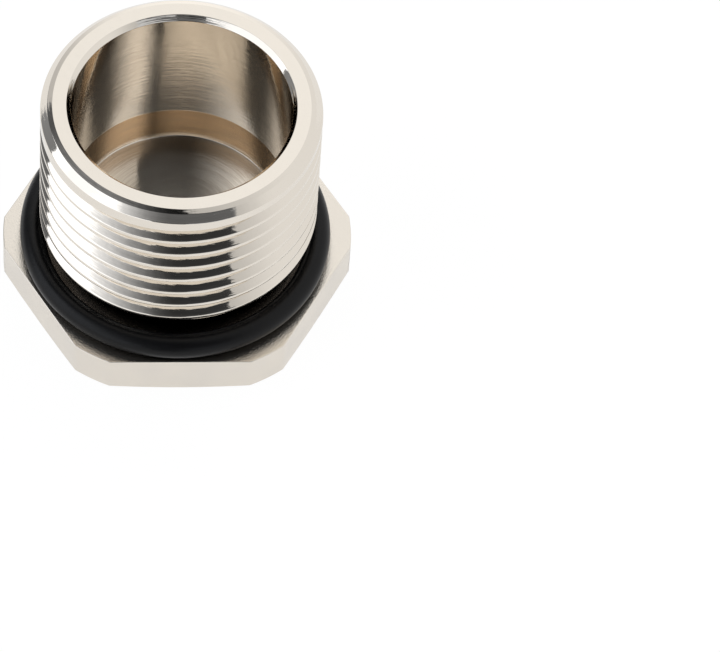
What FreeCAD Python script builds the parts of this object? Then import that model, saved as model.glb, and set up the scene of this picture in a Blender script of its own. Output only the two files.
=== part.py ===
# Blanking plug for a 20 mm conduit or cable entry: a hexagon-headed body turned in one piece
# from brass bar and nickel plated, and a loose rubber sealing ring round the neck under its head.
# Millimetres, +Z along the thread. The origin is the centre of the head's outer face, so the
# plug stands on its head with the open end of its blind bore upwards. Two flats face -Y and +Y.

import FreeCAD, Part

import math
import os

import Sketcher
from FreeCAD import Vector

document = FreeCAD.newDocument("stopping_plug")


# Driving sizes

sheet = document.addObject("Spreadsheet::Sheet", "sizes")

SIZES = [
    # head, milled from hexagon bar and faced on the lathe
    ("across_flats", 23.0, "hexagon across its flats"),
    ("corner_diameter", 25.1, "diameter that the six corners are turned down to"),
    ("head_height", 3.2, "outer face to sealing face"),
    ("face_diameter", 22.6, "flat part of the outer face, inside its chamfer"),
    ("face_chamfer_angle", 12.0, "slope of the outer face's chamfer, degrees"),
    # shank
    ("shank_length", 15.0, "sealing face to end face"),
    ("thread_diameter", 19.9, "over the crests, M20 less its tolerance"),
    ("end_face_diameter", 18.2, "outer edge of the flat end face"),
    ("broken_edge_diameter", 18.9, "foot of the broken edge between end face and chamfer"),
    ("broken_edge_height", 0.13, "axial height of the broken edge"),
    ("end_chamfer_height", 0.65, "end face to the foot of the chamfer"),
    # undercut behind the thread, where the sealing ring sits
    ("neck_diameter", 17.8, "bottom of the undercut"),
    ("neck_height", 1.9, "straight part of the undercut, from the sealing face"),
    ("neck_wall_height", 0.7, "sloping wall from the undercut out to the thread"),
    # blind bore
    ("bore_diameter", 15.6, "bored wall"),
    ("bore_depth", 10.7, "end face to the foot of the bored wall"),
    ("floor_wall", 1.4, "from the bottom of the undercut in to the edge of the floor"),
    ("floor_depth", 13.3, "end face to the flat floor"),
    ("mouth_diameter", 16.3, "outer edge of the chamfer at the bore's mouth"),
    ("mouth_height", 0.3, "axial height of the chamfer at the bore's mouth"),
    # right-hand thread, M20 x 1.5
    ("thread_pitch", 1.5, "advance in one turn"),
    ("thread_depth", 0.88, "crest to root"),
    ("root_flat", 0.19, "width of the groove's flat root"),
    ("flank_angle", 30.0, "lean of each flank, degrees"),
    ("tool_clear", 0.15, "how far the cutting profile stands out past the crests"),
    ("groove_start", 1.32, "sealing face to the middle of the groove where the cut starts"),
    ("thread_turns", 8.17, "turns of the groove at full depth"),
    ("runout_turns", 0.34, "part of a turn in which the groove climbs out of the shank"),
    # sealing ring
    ("ring_section", 1.78, "thickness of the round section"),
    ("ring_clearance", 0.485, "radial gap between the undercut and a centred ring"),
    ("ring_gap", 0.02, "what is left of that gap on the side where the ring leans"),
    ("ring_side", 249.0, "direction in which the ring has slid, degrees from +X"),
]

for row, (alias, value, meaning) in enumerate(SIZES, start=1):
    sheet.set("A%d" % row, meaning)
    sheet.set("B%d" % row, "%g" % value)
    sheet.setAlias("B%d" % row, alias)

document.recompute()

# Heights above the outer face that several features share, as expressions on the sheet.
SEAL = "sizes.head_height"
END = "(sizes.head_height + sizes.shank_length)"


# Sketching

def origin_part(body, role):
    """Return one of the body's own origin planes or axes."""
    return next(item for item in body.Origin.OriginFeatures if item.Role == role)


def new_sketch(body, name, plane):
    """Add an empty sketch that lies on one of the body's own origin planes."""
    sketch = body.newObject("Sketcher::SketchObject", name)
    sketch.AttachmentSupport = [(origin_part(body, plane), "")]
    sketch.MapMode = "FlatFace"
    return sketch


def place_point(sketch, edge, end, across, up, guess):
    """Bind a point to its distance from the axis and its height, each an expression."""
    for kind, text, value, axis in (("DistanceX", across, guess.x, -2), ("DistanceY", up, guess.y, -1)):
        if text == "0":
            sketch.addConstraint(Sketcher.Constraint("PointOnObject", edge, end, axis))
        else:
            number = sketch.addConstraint(Sketcher.Constraint(kind, -1, 1, edge, end, value))
            sketch.setExpression("Constraints[%d]" % number, text)


def outline(body, name, corners, plane="XZ_Plane"):
    """Draw a closed outline of straight edges with each corner bound to the sheet."""
    sketch = new_sketch(body, name, plane)
    points = []
    for across, up in corners:
        points.append(Vector(sketch.evalExpression(across), sketch.evalExpression(up), 0))
    count = len(points)
    for index in range(count):
        sketch.addGeometry(Part.LineSegment(points[index], points[(index + 1) % count]), False)
    for index in range(count):
        sketch.addConstraint(Sketcher.Constraint("Coincident", index, 2, (index + 1) % count, 1))
    for index, (across, up) in enumerate(corners):
        place_point(sketch, index, 1, across, up, points[index])
    return sketch


def turn(body, kind, name, sketch):
    """Add or cut a full turn of a sketch about the plug's axis."""
    feature = body.newObject(kind, name)
    feature.Profile = sketch
    feature.ReferenceAxis = (origin_part(body, "Z_Axis"), [""])
    feature.Angle = 360
    document.recompute()
    return feature


# Body of the plug

plug = document.addObject("PartDesign::Body", "plug_body")
plug.Label = "plug_body"

# The hexagon stands on a construction circle through its corners, with one corner on +X.
hexagon = new_sketch(plug, "hexagon", "XY_Plane")
SIDES = 6
corner_radius = hexagon.evalExpression("sizes.across_flats / 2 / cos(30 deg)")
corners = []
for side in range(SIDES):
    angle = math.radians(360 / SIDES * side)
    corners.append(Vector(corner_radius * math.cos(angle), corner_radius * math.sin(angle), 0))
for side in range(SIDES):
    hexagon.addGeometry(Part.LineSegment(corners[side], corners[(side + 1) % SIDES]), False)
circle = hexagon.addGeometry(Part.Circle(Vector(), Vector(0, 0, 1), corner_radius), True)
hexagon.addConstraint(Sketcher.Constraint("Coincident", circle, 3, -1, 1))
for side in range(SIDES):
    hexagon.addConstraint(Sketcher.Constraint("Coincident", side, 2, (side + 1) % SIDES, 1))
    hexagon.addConstraint(Sketcher.Constraint("PointOnObject", side, 1, circle))
for side in range(1, SIDES):
    hexagon.addConstraint(Sketcher.Constraint("Equal", 0, side))
hexagon.addConstraint(Sketcher.Constraint("PointOnObject", 0, 1, -1))
radius = hexagon.addConstraint(Sketcher.Constraint("Radius", circle, corner_radius))
hexagon.setExpression("Constraints[%d]" % radius, "sizes.across_flats / 2 / cos(30 deg)")

head = plug.newObject("PartDesign::Pad", "head")
head.Profile = hexagon
head.setExpression("Length", SEAL)
document.recompute()

# The lathe takes the corners down to a round and leaves a shallow chamfer on the outer face.
turned_outside = outline(plug, "turned_outside", [
    ("sizes.face_diameter / 2", "0"),
    (
        "sizes.corner_diameter / 2",
        "(sizes.corner_diameter - sizes.face_diameter) / 2 * tan(sizes.face_chamfer_angle * 1 deg)",
    ),
    ("sizes.corner_diameter / 2", SEAL + " + sizes.shank_length"),
    ("sizes.across_flats", SEAL + " + sizes.shank_length"),
    ("sizes.across_flats", "0"),
])
turn(plug, "PartDesign::Groove", "turned_head", turned_outside)

# The shank before the thread is cut: undercut neck, full diameter, end chamfer, broken edge.
NECK_TOP = SEAL + " + sizes.neck_height"
shank_profile = outline(plug, "shank_profile", [
    ("0", SEAL),
    ("sizes.neck_diameter / 2", SEAL),
    ("sizes.neck_diameter / 2", NECK_TOP),
    ("sizes.thread_diameter / 2", NECK_TOP + " + sizes.neck_wall_height"),
    ("sizes.thread_diameter / 2", END + " - sizes.end_chamfer_height"),
    ("sizes.broken_edge_diameter / 2", END + " - sizes.broken_edge_height"),
    ("sizes.end_face_diameter / 2", END),
    ("0", END),
])
turn(plug, "PartDesign::Revolution", "shank", shank_profile)

# The blind bore: mouth chamfer, bored wall, a little slope below it, flat faced floor.
bore_profile = outline(plug, "bore_profile", [
    ("0", END + " - sizes.floor_depth"),
    ("sizes.neck_diameter / 2 - sizes.floor_wall", END + " - sizes.floor_depth"),
    ("sizes.bore_diameter / 2", END + " - sizes.bore_depth"),
    ("sizes.bore_diameter / 2", END + " - sizes.mouth_height"),
    ("sizes.mouth_diameter / 2", END),
    ("0", END),
])
turn(plug, "PartDesign::Groove", "bore", bore_profile)


# The thread: one groove, cut in two passes of the same profile. The first starts in the open
# undercut and runs at full depth. The second carries on where it stops and climbs outwards,
# so that a plain band is left below the end chamfer.

def thread_profile(name, turned, lift):
    """Draw the groove's trapezium, turned about the axis and lifted by expressions."""
    reach = "(sizes.thread_depth + sizes.tool_clear)"
    crest = "(sizes.thread_diameter / 2 + sizes.tool_clear)"
    half_mouth = "(sizes.root_flat / 2 + " + reach + " * tan(sizes.flank_angle * 1 deg))"
    middle = "(" + SEAL + " + sizes.groove_start + " + lift + ")"
    sketch = outline(plug, name, [
        (crest + " - " + reach, middle + " - sizes.root_flat / 2"),
        (crest, middle + " - " + half_mouth),
        (crest, middle + " + " + half_mouth),
        (crest + " - " + reach, middle + " + sizes.root_flat / 2"),
    ])
    sketch.setExpression("AttachmentOffset.Rotation.Axis.y", "1")
    sketch.setExpression("AttachmentOffset.Rotation.Axis.z", "0")
    sketch.setExpression("AttachmentOffset.Rotation.Angle", turned)
    return sketch


def thread_cut(name, sketch, turns, cone):
    """Sweep the profile up a right-hand helix about the axis and take it from the shank."""
    cut = plug.newObject("PartDesign::SubtractiveHelix", name)
    cut.Profile = sketch
    cut.ReferenceAxis = (origin_part(plug, "Z_Axis"), [""])
    cut.Mode = "pitch-turns-angle"
    cut.setExpression("Pitch", "sizes.thread_pitch")
    cut.setExpression("Turns", turns)
    cut.setExpression("Angle", cone)
    document.recompute()
    return cut


groove_profile = thread_profile("groove_profile", "0 deg", "0")
thread_cut("thread", groove_profile, "sizes.thread_turns", "0 deg")

LEFT_OFF = "sizes.thread_turns * 360 deg"
LEFT_OFF_HEIGHT = "sizes.thread_turns * sizes.thread_pitch"
CLIMB = "atan((sizes.thread_depth + sizes.tool_clear) / (sizes.runout_turns * sizes.thread_pitch))"
runout_profile = thread_profile("runout_profile", LEFT_OFF, LEFT_OFF_HEIGHT)
runout = thread_cut("thread_runout", runout_profile, "sizes.runout_turns", CLIMB)
plug.Tip = runout


# Sealing ring: it lies on the sealing face, loose round the undercut, slid to one side

SLIP = "(sizes.ring_clearance - sizes.ring_gap)"
ring = document.addObject("Part::Torus", "o_ring")
ring.Label = "o_ring"
ring.setExpression("Radius1", "sizes.neck_diameter / 2 + sizes.ring_clearance + sizes.ring_section / 2")
ring.setExpression("Radius2", "sizes.ring_section / 2")
ring.setExpression("Placement.Base.x", SLIP + " * cos(sizes.ring_side * 1 deg)")
ring.setExpression("Placement.Base.y", SLIP + " * sin(sizes.ring_side * 1 deg)")
ring.setExpression("Placement.Base.z", SEAL + " + sizes.ring_section / 2")


# Check everything, then write each piece

document.recompute()
pieces = [plug, ring]

for item in document.Objects:
    if "Invalid" in item.State or "Error" in item.State:
        raise RuntimeError("%s could not be computed: %s" % (item.Label, item.State))
for piece in pieces:
    if piece.Shape.isNull() or not piece.Shape.isValid():
        raise RuntimeError("%s has no valid shape" % piece.Label)

os.makedirs("parts", exist_ok=True)
for piece in pieces:
    piece.Shape.exportStep("parts/%s.step" % piece.Label)
    print(piece.Label, "%.1f mm3" % piece.Shape.Volume)
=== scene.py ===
# Blanking plug for a 20 mm conduit entry, standing on its hexagon head with the open end up.
# A turned and nickel-plated brass body, and a black rubber sealing ring round its neck.
# Sizes are in millimetres and times MM they are metres. Angles are measured from +X.

import math

import bpy
import numpy as np
from mathutils import Matrix, Vector


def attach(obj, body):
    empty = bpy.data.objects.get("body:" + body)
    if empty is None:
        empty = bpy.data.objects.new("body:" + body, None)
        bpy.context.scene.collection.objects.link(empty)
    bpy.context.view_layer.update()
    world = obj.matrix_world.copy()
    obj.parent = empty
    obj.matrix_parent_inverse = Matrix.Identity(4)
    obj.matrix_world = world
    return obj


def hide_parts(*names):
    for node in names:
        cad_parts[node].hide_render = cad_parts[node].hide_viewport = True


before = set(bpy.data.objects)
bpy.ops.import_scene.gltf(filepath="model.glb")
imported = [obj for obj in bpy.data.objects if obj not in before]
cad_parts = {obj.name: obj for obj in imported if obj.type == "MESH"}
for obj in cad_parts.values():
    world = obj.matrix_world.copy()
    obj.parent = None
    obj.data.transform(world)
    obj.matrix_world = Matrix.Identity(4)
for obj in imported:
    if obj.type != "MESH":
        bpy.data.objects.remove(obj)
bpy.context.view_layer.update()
MM = 0.001


# Hexagon head. The real one is hexagon bar whose corners the lathe takes down to a round,
# with a shallow chamfer round its outer face. It is milled nickel-plated brass with a satin
# skin, one piece with the shank, so its rings of points are the first rows of the body.

COLUMNS = 240  # points round the plug, a multiple of twelve
ACROSS_FLATS = 23.0
CORNER_RADIUS = 12.55
HEAD_HEIGHT = 3.2
FACE_RADIUS = 11.3
FACE_SLOPE = math.tan(math.radians(12.0))
FACE_EDGE = 0.03  # from the flat outer face's rim to the rows beside it
HEAD_EDGE = 0.09  # rounding of the edge between the face's chamfer and the head's side
SEAL_EDGE = 0.05  # rounding of the edge between the side and the sealing face
NECK_RADIUS = 8.9
NECK_MIDDLE = 4.3  # where the head's rows end on the neck and the thread's rows begin
FLATS = 6

turned = 2 * math.pi * np.arange(COLUMNS) / COLUMNS


def head_angles():
    """Angles of the columns on the head's rim: in each sixth of a turn, half from the middle of
    a turned corner to the edge of the flat, spread so that a column runs along that edge."""
    half_sector = math.pi / FLATS
    edge_of_flat = half_sector - math.acos(ACROSS_FLATS / 2 / CORNER_RADIUS)
    per_half = COLUMNS // (2 * FLATS)
    on_corner = 5  # columns over half a turned corner
    share = np.arange(per_half) / per_half
    knee = on_corner / per_half
    half = np.where(
        share < knee,
        share / knee * edge_of_flat,
        edge_of_flat + (share - knee) / (1 - knee) * (half_sector - edge_of_flat),
    )
    mirrored = 2 * half_sector - np.append(half[1:], half_sector)[::-1]
    sector = np.concatenate([half, mirrored])
    return (sector[None, :] + 2 * half_sector * np.arange(FLATS)[:, None]).ravel()


def rim_radius(angle):
    """Distance from the axis to the head's side: half the flats over the cosine of the angle
    from the nearest flat's middle, but no more than the turned corner."""
    sector = 2 * math.pi / FLATS
    from_flat = (angle % sector) - sector / 2
    return np.minimum(ACROSS_FLATS / 2 / np.cos(from_flat), CORNER_RADIUS)


def ring(radius, height, angle=turned):
    """One row of the body: points at this radius, height and angle, each a number or an array."""
    radius, height, angle = np.broadcast_arrays(radius, height, angle)
    return np.stack([radius * np.cos(angle), radius * np.sin(angle), height], -1)


def head_rows():
    """Rows from the centre of the outer face, out over the face and its chamfer, up the side, in
    over the sealing face and up the neck. An edge is an arc about a centre one radius inside."""
    rim = head_angles()
    side = rim_radius(rim)
    rows = [ring(radius, 0.0) for radius in (0.0, 3.0, 7.0, 10.0, FACE_RADIUS - FACE_EDGE)]
    centre = side - HEAD_EDGE
    lift = (centre - FACE_RADIUS) * FACE_SLOPE + HEAD_EDGE / math.cos(math.atan(FACE_SLOPE))
    for part in (0.0, 0.5, 0.95):
        radius = FACE_RADIUS + FACE_EDGE + (centre - FACE_RADIUS - FACE_EDGE) * part
        angle = turned + (rim - turned) * part
        rows.append(ring(radius, (radius - FACE_RADIUS) * FACE_SLOPE, angle))
    for lean in np.radians(np.linspace(12, 90, 6)):
        rows.append(ring(centre + HEAD_EDGE * math.sin(lean), lift - HEAD_EDGE * math.cos(lean), rim))
    for part in (0.04, 0.35, 0.65, 0.97):
        rows.append(ring(side, lift + (HEAD_HEIGHT - SEAL_EDGE - lift) * part, rim))
    for lean in np.radians(np.linspace(0, 90, 5)):
        radius = side - SEAL_EDGE + SEAL_EDGE * math.cos(lean)
        rows.append(ring(radius, HEAD_HEIGHT - SEAL_EDGE + SEAL_EDGE * math.sin(lean), rim))
    for part in (0.98, 0.75, 0.5, 0.25, 0.02, 0.0):
        radius = NECK_RADIUS + (side - SEAL_EDGE - NECK_RADIUS) * part
        rows.append(ring(radius, HEAD_HEIGHT, turned + (rim - turned) * part))
    rows += [ring(NECK_RADIUS, height) for height in (HEAD_HEIGHT + 0.03, NECK_MIDDLE)]
    return np.array(rows)


# Threaded shank. On the real plug it is turned down, undercut behind the thread for the ring,
# and cut with a right-hand M20 thread that runs out below a plain band. Bright nickel plate.

THREAD_RADIUS = 9.95
THREAD_PITCH = 1.5
THREAD_DEPTH = 0.88
FLANK_SLOPE = math.tan(math.radians(30))
ROOT_FLAT = 0.19
TOOL_CLEAR = 0.15  # how far the climbing root goes out past the shank
GROOVE_START = 4.52  # height of the groove's middle at angle 0 where the cut starts
THREAD_TURNS = 8.17
RUNOUT_TURNS = 0.34
NECK_TOP = 5.1  # where the undercut ends and its wall starts to slope out to the shank
NECK_WALL = 0.7
THREAD_HEAD = 17.45
CREST_ROUND = 0.07  # widths of the rounding at the crests and the root
ROOT_ROUND = 0.09


def soft_least(one, other, width):
    """The lesser of two heights, with the corner where they cross rounded off over this width."""
    near = np.maximum(width - np.abs(one - other), 0) / width
    return np.minimum(one, other) - near**2 * width / 4


def shank_radius(angle, height):
    """Radius of the threaded shank: the lesser of its turned outline and the groove. The groove
    is its root radius plus the height over the flank, by the distance from the groove's middle,
    and past its last full turn the root climbs until it is out of the shank."""
    outline = NECK_RADIUS + (THREAD_RADIUS - NECK_RADIUS) * np.clip((height - NECK_TOP) / NECK_WALL, 0, 1)
    turn = angle / (2 * math.pi)
    count = np.round((height - GROOVE_START) / THREAD_PITCH - turn)
    along = count + turn
    away = np.abs(height - GROOVE_START - THREAD_PITCH * along)
    climb = np.clip((along - THREAD_TURNS) / RUNOUT_TURNS, 0, 1) * (THREAD_DEPTH + TOOL_CLEAR)
    root = THREAD_RADIUS - THREAD_DEPTH + climb
    past = (along < -0.001) | (along > THREAD_TURNS + RUNOUT_TURNS)
    flank = (away - ROOT_FLAT / 2) / FLANK_SLOPE
    groove = root - soft_least(-flank, 0 * flank, ROOT_ROUND)
    return soft_least(outline, np.where(past, 2 * THREAD_RADIUS, groove), CREST_ROUND)


def pitch_steps():
    """Heights of the rows within one pitch, from the groove's middle up, close together where
    the section bends at the root and at the crest's edge."""
    root, edge = ROOT_FLAT / 2, ROOT_FLAT / 2 + THREAD_DEPTH * FLANK_SLOPE
    half = THREAD_PITCH / 2
    up = np.concatenate([
        [0.0],
        root + np.array([-0.03, 0.0, 0.03]),
        np.linspace(root + 0.08, edge - 0.06, 5),
        edge + np.array([-0.03, -0.015, 0.0, 0.015, 0.03]),
        [half - 0.05],
    ])
    return np.concatenate([up, [half], THREAD_PITCH - up[:0:-1]])


def thread_rows():
    """Rows that follow the helix, each one column longer than the plug is round: a row's last
    point is the first point of the row one pitch higher. Heights are held between the neck and
    the plain band, where the surplus rows lie on one ring."""
    steps = pitch_steps()
    turn = np.arange(COLUMNS + 1) / COLUMNS
    count = int((THREAD_HEAD - GROOVE_START) / THREAD_PITCH) + 4
    base = (np.arange(-2, count - 2)[:, None] * THREAD_PITCH + steps[None, :]).ravel()
    height = GROOVE_START + base[:, None] + THREAD_PITCH * turn[None, :]
    height = np.clip(height, NECK_MIDDLE, THREAD_HEAD)
    angle = np.broadcast_to(2 * math.pi * turn, height.shape)
    return ring(shank_radius(angle, height), height, angle)


# Open end and hollow. The real end has a wide chamfer, a small broken edge, a flat rim and a
# little chamfer at the mouth, then a blind bore with a slope to its flat floor. The bore is
# drilled and faced, so it keeps its turning marks under a thin, warmer plate.

TOP = 18.2
BORE_RADIUS = 7.8
SLOPE_TOP = TOP - 10.7
FLOOR_HEIGHT = TOP - 13.3
END_OUTLINE = [
    # radius, height, rounding of the corner
    (THREAD_RADIUS, THREAD_HEAD, 0.0),
    (THREAD_RADIUS, TOP - 0.65, 0.10),
    (9.45, TOP - 0.13, 0.035),
    (9.1, TOP, 0.05),
    (8.12, TOP, 0.03),
    (BORE_RADIUS, TOP - 0.38, 0.05),
    (BORE_RADIUS, SLOPE_TOP, 0.15),
    (7.5, FLOOR_HEIGHT, 0.12),
    (0.0, FLOOR_HEIGHT, 0.0),
]
SUPPORT = 0.02  # from each end of an arc to the point beside it
LONGEST_RUN = 1.5


def rounded(outline):
    """Points of an outline whose corners are arcs tangent to their two runs: an arc starts its
    radius times the tangent of half the turn before the corner, and a point stands close
    beside each end of it so that the run stays flat in the light."""
    places = [np.array(corner[:2]) for corner in outline]
    made = [places[0]]
    for index in range(1, len(outline) - 1):
        corner, radius = places[index], outline[index][2]
        came = places[index - 1] - corner
        goes = places[index + 1] - corner
        came, goes = came / np.linalg.norm(came), goes / np.linalg.norm(goes)
        turn = math.pi - math.acos(np.clip(came @ goes, -1, 1))
        reach = radius * math.tan(turn / 2)
        middle = corner + (came + goes) / np.linalg.norm(came + goes) * radius / math.cos(turn / 2)
        steps = max(2, round(math.degrees(turn) / 15))
        made.append(corner + came * (reach + SUPPORT))
        first, last = corner + came * reach - middle, corner + goes * reach - middle
        for part in np.arange(steps + 1) / steps:
            spoke = (math.sin((1 - part) * turn) * first + math.sin(part * turn) * last) / math.sin(turn)
            made.append(middle + spoke)
        made.append(corner + goes * (reach + SUPPORT))
    made.append(places[-1])
    return np.array(made)


def divided(points, longest):
    """The same outline with no run longer than this, by points spaced evenly along it."""
    made = [points[:1]]
    for start, stop in zip(points[:-1], points[1:]):
        count = max(1, math.ceil(np.linalg.norm(stop - start) / longest))
        share = (np.arange(count) + 1)[:, None] / count
        made.append(start + (stop - start) * share)
    return np.concatenate(made)


def end_rows():
    """Rows over the open end and down the hollow to the middle of its floor."""
    return np.array([ring(radius, height) for radius, height in divided(rounded(END_OUTLINE), LONGEST_RUN)])


# The body is one piece of metal, so its three sets of rows become one closed mesh. Each quad
# joins two neighbouring columns of two neighbouring rows, points that share a place are one,
# and a quad that has lost a corner at a pole or on a held row is a triangle.

def quads_of(rows, wrap):
    """Corner numbers of the quads between the rows of one set. Where wrap is set, the last
    column joins the first of the same row, and otherwise the columns simply end."""
    count, columns = rows.shape[:2]
    number = np.arange(count * columns).reshape(count, columns)
    if wrap:
        number = np.concatenate([number, number[:, :1]], 1)
    low, high = number[:-1], number[1:]
    return np.stack([low[:, :-1], low[:, 1:], high[:, 1:], high[:, :-1]], -1).reshape(-1, 4)


def weld(sets):
    """Merge the points of several sets of rows that share a place, to a hundred-thousandth of a
    millimetre, and return the points, the faces and the number of the set of each face."""
    points, quads, owner, start = [], [], [], 0
    for number, (rows, wrap) in enumerate(sets):
        found = quads_of(rows, wrap)
        points.append(rows.reshape(-1, 3))
        quads.append(found + start)
        owner.append(np.full(len(found), number))
        start += rows.shape[0] * rows.shape[1]
    points, quads, owner = np.concatenate(points), np.concatenate(quads), np.concatenate(owner)
    kept, same = np.unique(np.round(points, 5), axis=0, return_inverse=True)
    quads = same.reshape(-1)[quads]
    double = quads == np.roll(quads, -1, axis=1)
    whole = double.sum(1) == 0
    cut = double.sum(1) == 1
    triangles = quads[cut][~double[cut]].reshape(-1, 3)
    faces = quads[whole].tolist() + triangles.tolist()
    return kept, faces, np.concatenate([owner[whole], owner[cut]])


def mesh_piece(name, points, faces):
    """A smooth-shaded object at the origin from points in millimetres and faces."""
    mesh = bpy.data.meshes.new(name)
    mesh.from_pydata((points * MM).tolist(), [], faces)
    mesh.validate()
    mesh.shade_smooth()
    made = bpy.data.objects.new(name, mesh)
    bpy.context.scene.collection.objects.link(made)
    return made


points, faces, part_of_face = weld([(head_rows(), True), (thread_rows(), False), (end_rows(), True)])
body = mesh_piece("turned_body", points, faces)
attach(body, "root")
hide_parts("plug_body")


# Nickel plate. One coat over the whole body, but the metal under it differs: satin milling on
# the head, a bright cut thread, and a bore that keeps its turning marks and shows warmer.

class Wire:
    """A value or socket of one node tree, on which Python's operators add nodes."""

    def __init__(self, tree, socket):
        self.tree, self.socket = tree, socket

    def node(self, kind, settings=None, output=0, **values):
        """Add a node of this type, set its own settings first and then its sockets, each by its
        name or, after an underscore, by its number."""
        made = self.tree.nodes.new(kind)
        for key, value in (settings or {}).items():
            setattr(made, key, value)
        for key, value in values.items():
            socket = made.inputs[int(key[1:])] if key[0] == "_" else made.inputs[key.replace("_", " ")]
            if isinstance(value, Wire):
                self.tree.links.new(value.socket, socket)
            else:
                socket.default_value = value
        return Wire(self.tree, made.outputs[output])

    def math(self, operation, one, other=0.0):
        return self.node("ShaderNodeMath", {"operation": operation}, _0=one, _1=other)

    def __add__(self, other):
        return self.math("ADD", self, other)

    def __sub__(self, other):
        return self.math("SUBTRACT", self, other)

    def __rsub__(self, other):
        return self.math("SUBTRACT", other, self)

    def __mul__(self, other):
        return self.math("MULTIPLY", self, other)

    def __truediv__(self, other):
        return self.math("DIVIDE", self, other)

    def __pow__(self, other):
        return self.math("POWER", self, other)

    __radd__, __rmul__ = __add__, __mul__

    def __abs__(self):
        return self.math("ABSOLUTE", self)

    def most(self, other):
        """The greater of two values."""
        return self.math("MAXIMUM", self, other)

    def step(self, low, high):
        """0 below low and 1 above high, smooth between."""
        return self.node(
            "ShaderNodeMapRange", {"interpolation_type": "SMOOTHSTEP"},
            Value=self, From_Min=low, From_Max=high, To_Min=0.0, To_Max=1.0,
        )

    def blend(self, one, other):
        """The first colour where this value is 0 and the second where it is 1."""
        return self.node(
            "ShaderNodeMix", {"data_type": "RGBA"}, output=2,
            Factor=self, _6=one, _7=other,
        )


def new_material(name):
    """An empty material, its tree as a Wire, and its output node."""
    material = bpy.data.materials.new(name)
    material.use_nodes = True
    material.node_tree.nodes.clear()
    output = material.node_tree.nodes.new("ShaderNodeOutputMaterial")
    return material, Wire(material.node_tree, None), output


def place_of(wire):
    """Object coordinates in millimetres: the vector, and its three numbers."""
    coordinates = wire.node("ShaderNodeTexCoord", output="Object")
    scaled = wire.node("ShaderNodeVectorMath", {"operation": "SCALE"}, _0=coordinates, Scale=1 / MM)
    split = wire.tree.nodes.new("ShaderNodeSeparateXYZ")
    wire.tree.links.new(scaled.socket, split.inputs[0])
    return (scaled, *(Wire(wire.tree, socket) for socket in split.outputs))


def noise(wire, vector, scale, detail=2.0, roughness=0.5):
    return wire.node("ShaderNodeTexNoise", Vector=vector, Scale=scale, Detail=detail, Roughness=roughness)


def turning_marks(wire, x, y, along, scale):
    """Marks of a lathe tool: noise that changes quickly along the profile and slowly round it."""
    place = wire.node("ShaderNodeCombineXYZ", X=x * 0.25, Y=y * 0.25, Z=along * scale)
    return noise(wire, place, 1.0, 3.0, 0.6)


def finish_metal(wire, output, colour, rough, height, depth, anisotropic=0.0):
    """A metal surface of this colour and roughness, with a bump of this depth in millimetres."""
    bump = wire.node("ShaderNodeBump", Strength=1.0, Distance=depth * MM, Height=height)
    surface = wire.node(
        "ShaderNodeBsdfPrincipled", Base_Color=colour, Metallic=1.0, Roughness=rough,
        Normal=bump, Anisotropic=anisotropic, Anisotropic_Rotation=0.25,
    )
    wire.tree.links.new(surface.socket, output.inputs["Surface"])


NICKEL = (0.86, 0.80, 0.715, 1.0)
NICKEL_DULL = (0.83, 0.775, 0.70, 1.0)
NICKEL_WORN = (0.60, 0.53, 0.45, 1.0)
NICKEL_WARM = (0.54, 0.39, 0.25, 1.0)
WARM_WORN = (0.42, 0.32, 0.22, 1.0)
GROOVE_PAINTED_SHADE = (0.10, 0.09, 0.08, 1.0)  # painted shade, a guess: the metal in the gap beside the ring is darkened because that gap looks black


def head_plate():
    material, wire, output = new_material("satin_nickel")
    place = place_of(wire)[0]
    grain = noise(wire, place, 7.0, 4.0, 0.7)
    cloud = noise(wire, place, 0.35, 2.0)
    colour = cloud.step(0.35, 0.7).blend(NICKEL, NICKEL_DULL)
    rough = 0.16 + grain * 0.06 + cloud * 0.05
    finish_metal(wire, output, colour, rough, grain, 0.012)
    return material


def sealing_face_plate():
    material, wire, output = new_material("faced_nickel")
    place, x, y, _ = place_of(wire)
    speck = noise(wire, place, 9.0, 3.0, 0.7)
    radius = (x * x + y * y) ** 0.5
    # Painted shade: the face under the ring, nearer the axis than 9.9 to 10.4 mm, takes the dark groove
    # colour instead of nickel.
    colour = radius.step(9.9, 10.4).blend(GROOVE_PAINTED_SHADE, NICKEL)
    rough = 0.10 + speck * 0.10
    finish_metal(wire, output, colour, rough, speck, 0.020)
    return material


def thread_plate():
    material, wire, output = new_material("bright_nickel")
    place, x, y, z = place_of(wire)
    feed = turning_marks(wire, x, y, z, 5.0)
    ripple = noise(wire, place, 0.9, 2.0)
    # Painted shade: the neck below a height of 4.2 to 4.7 mm, in the gap beside the ring, takes the dark
    # groove colour instead of nickel.
    colour = z.step(4.2, 4.7).blend(GROOVE_PAINTED_SHADE, NICKEL)
    rough = 0.03 + feed * 0.05
    finish_metal(wire, output, colour, rough, feed + ripple * 0.9, 0.010)
    return material


def bore_plate():
    material, wire, output = new_material("bored_nickel")
    _, x, y, z = place_of(wire)
    radius = (x * x + y * y) ** 0.5
    feed = turning_marks(wire, x, y, z + radius, 9.0)
    scores = turning_marks(wire, x, y, z + radius, 2.5)
    on_wall = z.step(FLOOR_HEIGHT + 0.05, FLOOR_HEIGHT + 0.4)
    smooth_wall = z.step(SLOPE_TOP - 0.1, SLOPE_TOP + 0.2)
    colour = on_wall.blend(NICKEL, NICKEL_WARM)
    worn = (feed * 0.6 + scores * 0.4).step(0.42, 0.60)
    colour = (worn * 0.5).blend(colour, on_wall.blend(NICKEL_WORN, WARM_WORN))
    rough = 0.14 - smooth_wall * 0.05 + feed * 0.06
    height = feed * 0.6 + scores
    finish_metal(wire, output, colour, rough, height, 0.012, 0.9)
    return material


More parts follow.
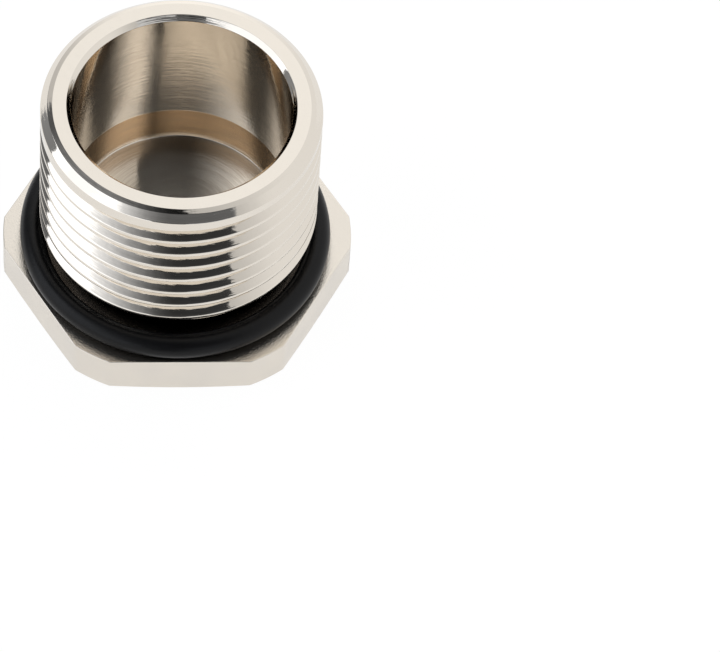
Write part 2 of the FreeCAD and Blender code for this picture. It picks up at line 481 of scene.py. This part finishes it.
HEAD_PLATE, THREAD_PLATE, BORE_PLATE, SEALING_PLATE = range(4)
JUST_OFF = 0.001
for plate in (head_plate(), thread_plate(), bore_plate(), sealing_face_plate()):
    body.data.materials.append(plate)
centres = np.zeros(len(body.data.polygons) * 3)
body.data.polygons.foreach_get("center", centres)
centres = centres.reshape(-1, 3) / MM
out_from_axis = np.hypot(centres[:, 0], centres[:, 1])
on_head = part_of_face == 0
finish = np.where(on_head, HEAD_PLATE, THREAD_PLATE)
finish[(part_of_face == 2) & (out_from_axis < BORE_RADIUS - 0.01)] = BORE_PLATE
finish[on_head & (centres[:, 2] > HEAD_HEIGHT - JUST_OFF)] = SEALING_PLATE
finish[on_head & (centres[:, 2] > HEAD_HEIGHT + JUST_OFF)] = THREAD_PLATE
body.data.polygons.foreach_set("material_index", finish)
body.data.set_sharp_from_angle(angle=math.radians(40))


# Sealing ring: a moulded black rubber ring of 1.8 mm round section. It is loose round the neck,
# lies on the head's sealing face and has slid to one side until it all but touches the neck.

RING_RADIUS = 10.275
RING_SECTION = 0.89
RING_HEIGHT = HEAD_HEIGHT + RING_SECTION
RING_SLIP = 0.465
RING_SIDE = math.radians(249.0)
RUBBER = (0.003, 0.003, 0.0032, 1.0)
RUBBER_PALE = (0.006, 0.006, 0.0068, 1.0)


def ring_rows():
    """A torus: rows go round the section and columns round the plug, about the ring's own centre."""
    lean = 2 * math.pi * np.arange(49) / 48
    slid = np.array([RING_SLIP * math.cos(RING_SIDE), RING_SLIP * math.sin(RING_SIDE), RING_HEIGHT])
    return slid + np.array([
        ring(RING_RADIUS + RING_SECTION * math.cos(a), RING_SECTION * math.sin(a)) for a in lean
    ])


ring_points, ring_faces, _ = weld([(ring_rows(), True)])
seal = mesh_piece("sealing_ring", ring_points, ring_faces)
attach(seal, "root")
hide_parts("o_ring")


def rubber():
    material, wire, output = new_material("black_rubber")
    place = place_of(wire)[0]
    grain = noise(wire, place, 5.0, 3.0, 0.6)
    cloud = noise(wire, place, 0.6, 2.0)
    bump = wire.node("ShaderNodeBump", Strength=1.0, Distance=0.010 * MM, Height=grain)
    colour = cloud.blend(RUBBER, RUBBER_PALE)
    surface = wire.node(
        "ShaderNodeBsdfPrincipled", Base_Color=colour, Roughness=0.26 + grain * 0.1, Normal=bump,
        Specular_IOR_Level=0.22,
    )
    wire.tree.links.new(surface.socket, output.inputs["Surface"])
    return material


seal.data.materials.append(rubber())


# Floor and light: a white table in a pale room. Most of what the camera sees of the table, and
# nearly two thirds of what the metal mirrors of it, is plain white. The rest is paper in shadow.

bpy.ops.mesh.primitive_plane_add(size=4.0, location=(0, 0, 0))
floor = bpy.context.object
floor.name = "floor"
floor_material, wire, output = new_material("white_floor")
WHITE = (1.0, 1.0, 1.0, 1.0)
to_camera = wire.node("ShaderNodeLightPath", output="Is Camera Ray")
to_metal = wire.node("ShaderNodeLightPath", output="Is Glossy Ray")
white = wire.node("ShaderNodeEmission", Color=WHITE, Strength=1.06)
paper = wire.node("ShaderNodeBsdfDiffuse", Color=(0.85, 0.85, 0.85, 1.0))
mixed = wire.node("ShaderNodeMixShader", Fac=(to_camera * 0.9).most(to_metal * 0.65), _1=paper, _2=white)
wire.tree.links.new(mixed.socket, output.inputs["Surface"])
floor.data.materials.append(floor_material)

world = bpy.data.worlds.new("studio")
bpy.context.scene.world = world
world.use_nodes = True
world.node_tree.nodes.clear()
sky = Wire(world.node_tree, None)
split = world.node_tree.nodes.new("ShaderNodeSeparateXYZ")
facing = sky.node("ShaderNodeTexCoord", output="Generated")
world.node_tree.links.new(facing.socket, split.inputs[0])
dx, dy, dz = (Wire(world.node_tree, socket) for socket in split.outputs)

# The room's dark side is a round card over the camera and everything left of a line from the
# front right to the back left. Its shade lightens towards the horizon and towards a bright soft
# box on the left, whose back edge is sharp.
over_camera = (dx * -0.429 + dy * -0.731 + dz * 0.530).step(0.560, 0.567)
left_half = (dx * -0.779 + dy * -0.627).step(-0.01, 0.02)
dark_side = over_camera.most(left_half)
before_gap = (dx * -0.07 - dy + dz * 0.65).step(-0.01, 0.01)
to_left = (dx * -1.0 - dy.most(0.0) * 0.9 - (dy * -0.12).most(0.0)).most(0.0)
shade = 0.01 + (1 - dz.most(0.0)) * 0.26 + before_gap * (to_left / 0.60) ** 2.1
left_box = (dx * -1.0).step(0.58, 0.66) * before_gap
shade = shade + left_box * (1.5 - shade)

# Under the card's lower edge the front is pale, but for a narrow dark stand below the camera.
low_front = (0.46 - dz).step(-0.01, 0.01) * (dy * -1.0).step(-0.1, 0.1)
beside_stand = abs(dx * 0.990 - dy * 0.139).step(0.19, 0.21)
front_light = 0.03 + beside_stand * (0.62 + (dx * -1.0).step(-0.1, 0.4) * 0.6)
shade = shade + low_front * (front_light - shade)

# The rest is pale: dimmer beside the dark card and brightest straight behind the plug.
right_room = 0.56 + (dx * 0.8 + dy * 0.45).step(0.03, 0.55) * 0.29
behind = (1 - abs(dx).step(0.05, 0.5)) * dy.step(0.25, 0.5)
right_room = right_room + behind * 0.28

# The camera itself sees plain white past the table, and the dark side is a little bluer.
COOL = (0.96, 1.0, 1.07, 1.0)
level = right_room + dark_side * (shade - right_room)
direct = sky.node("ShaderNodeLightPath", output="Is Camera Ray")
level = level + direct * (1 - level)
tint = direct.blend(dark_side.blend(WHITE, COOL), WHITE)
background = sky.node("ShaderNodeBackground", Color=tint, Strength=level)
world_output = world.node_tree.nodes.new("ShaderNodeOutputWorld")
world.node_tree.links.new(background.socket, world_output.inputs["Surface"])


# Camera: a long lens that looks down on the plug from the front, a little from its left. The
# photograph holds the plug in its upper left, so the aim lies to the right and in front of it.

CAMERA_PLACE = Vector((-12.43, -256.9, 351.99))
CAMERA_AIM = Vector((12.479, -12.512, 9.0))
CAMERA_ROLL = 4.594  # degrees

lens = bpy.data.cameras.new("camera")
lens.lens = 300.04
lens.sensor_width = 36.0
lens.clip_start, lens.clip_end = 0.01, 20.0
camera = bpy.data.objects.new("camera", lens)
bpy.context.scene.collection.objects.link(camera)
look = (CAMERA_AIM - CAMERA_PLACE).to_track_quat("-Z", "Y").to_matrix()
turn = Matrix.Rotation(math.radians(CAMERA_ROLL), 3, "Z")
camera.matrix_world = Matrix.Translation(CAMERA_PLACE * MM) @ (look @ turn).to_4x4()
bpy.context.scene.camera = camera
bpy.context.scene.view_settings.view_transform = "Standard"
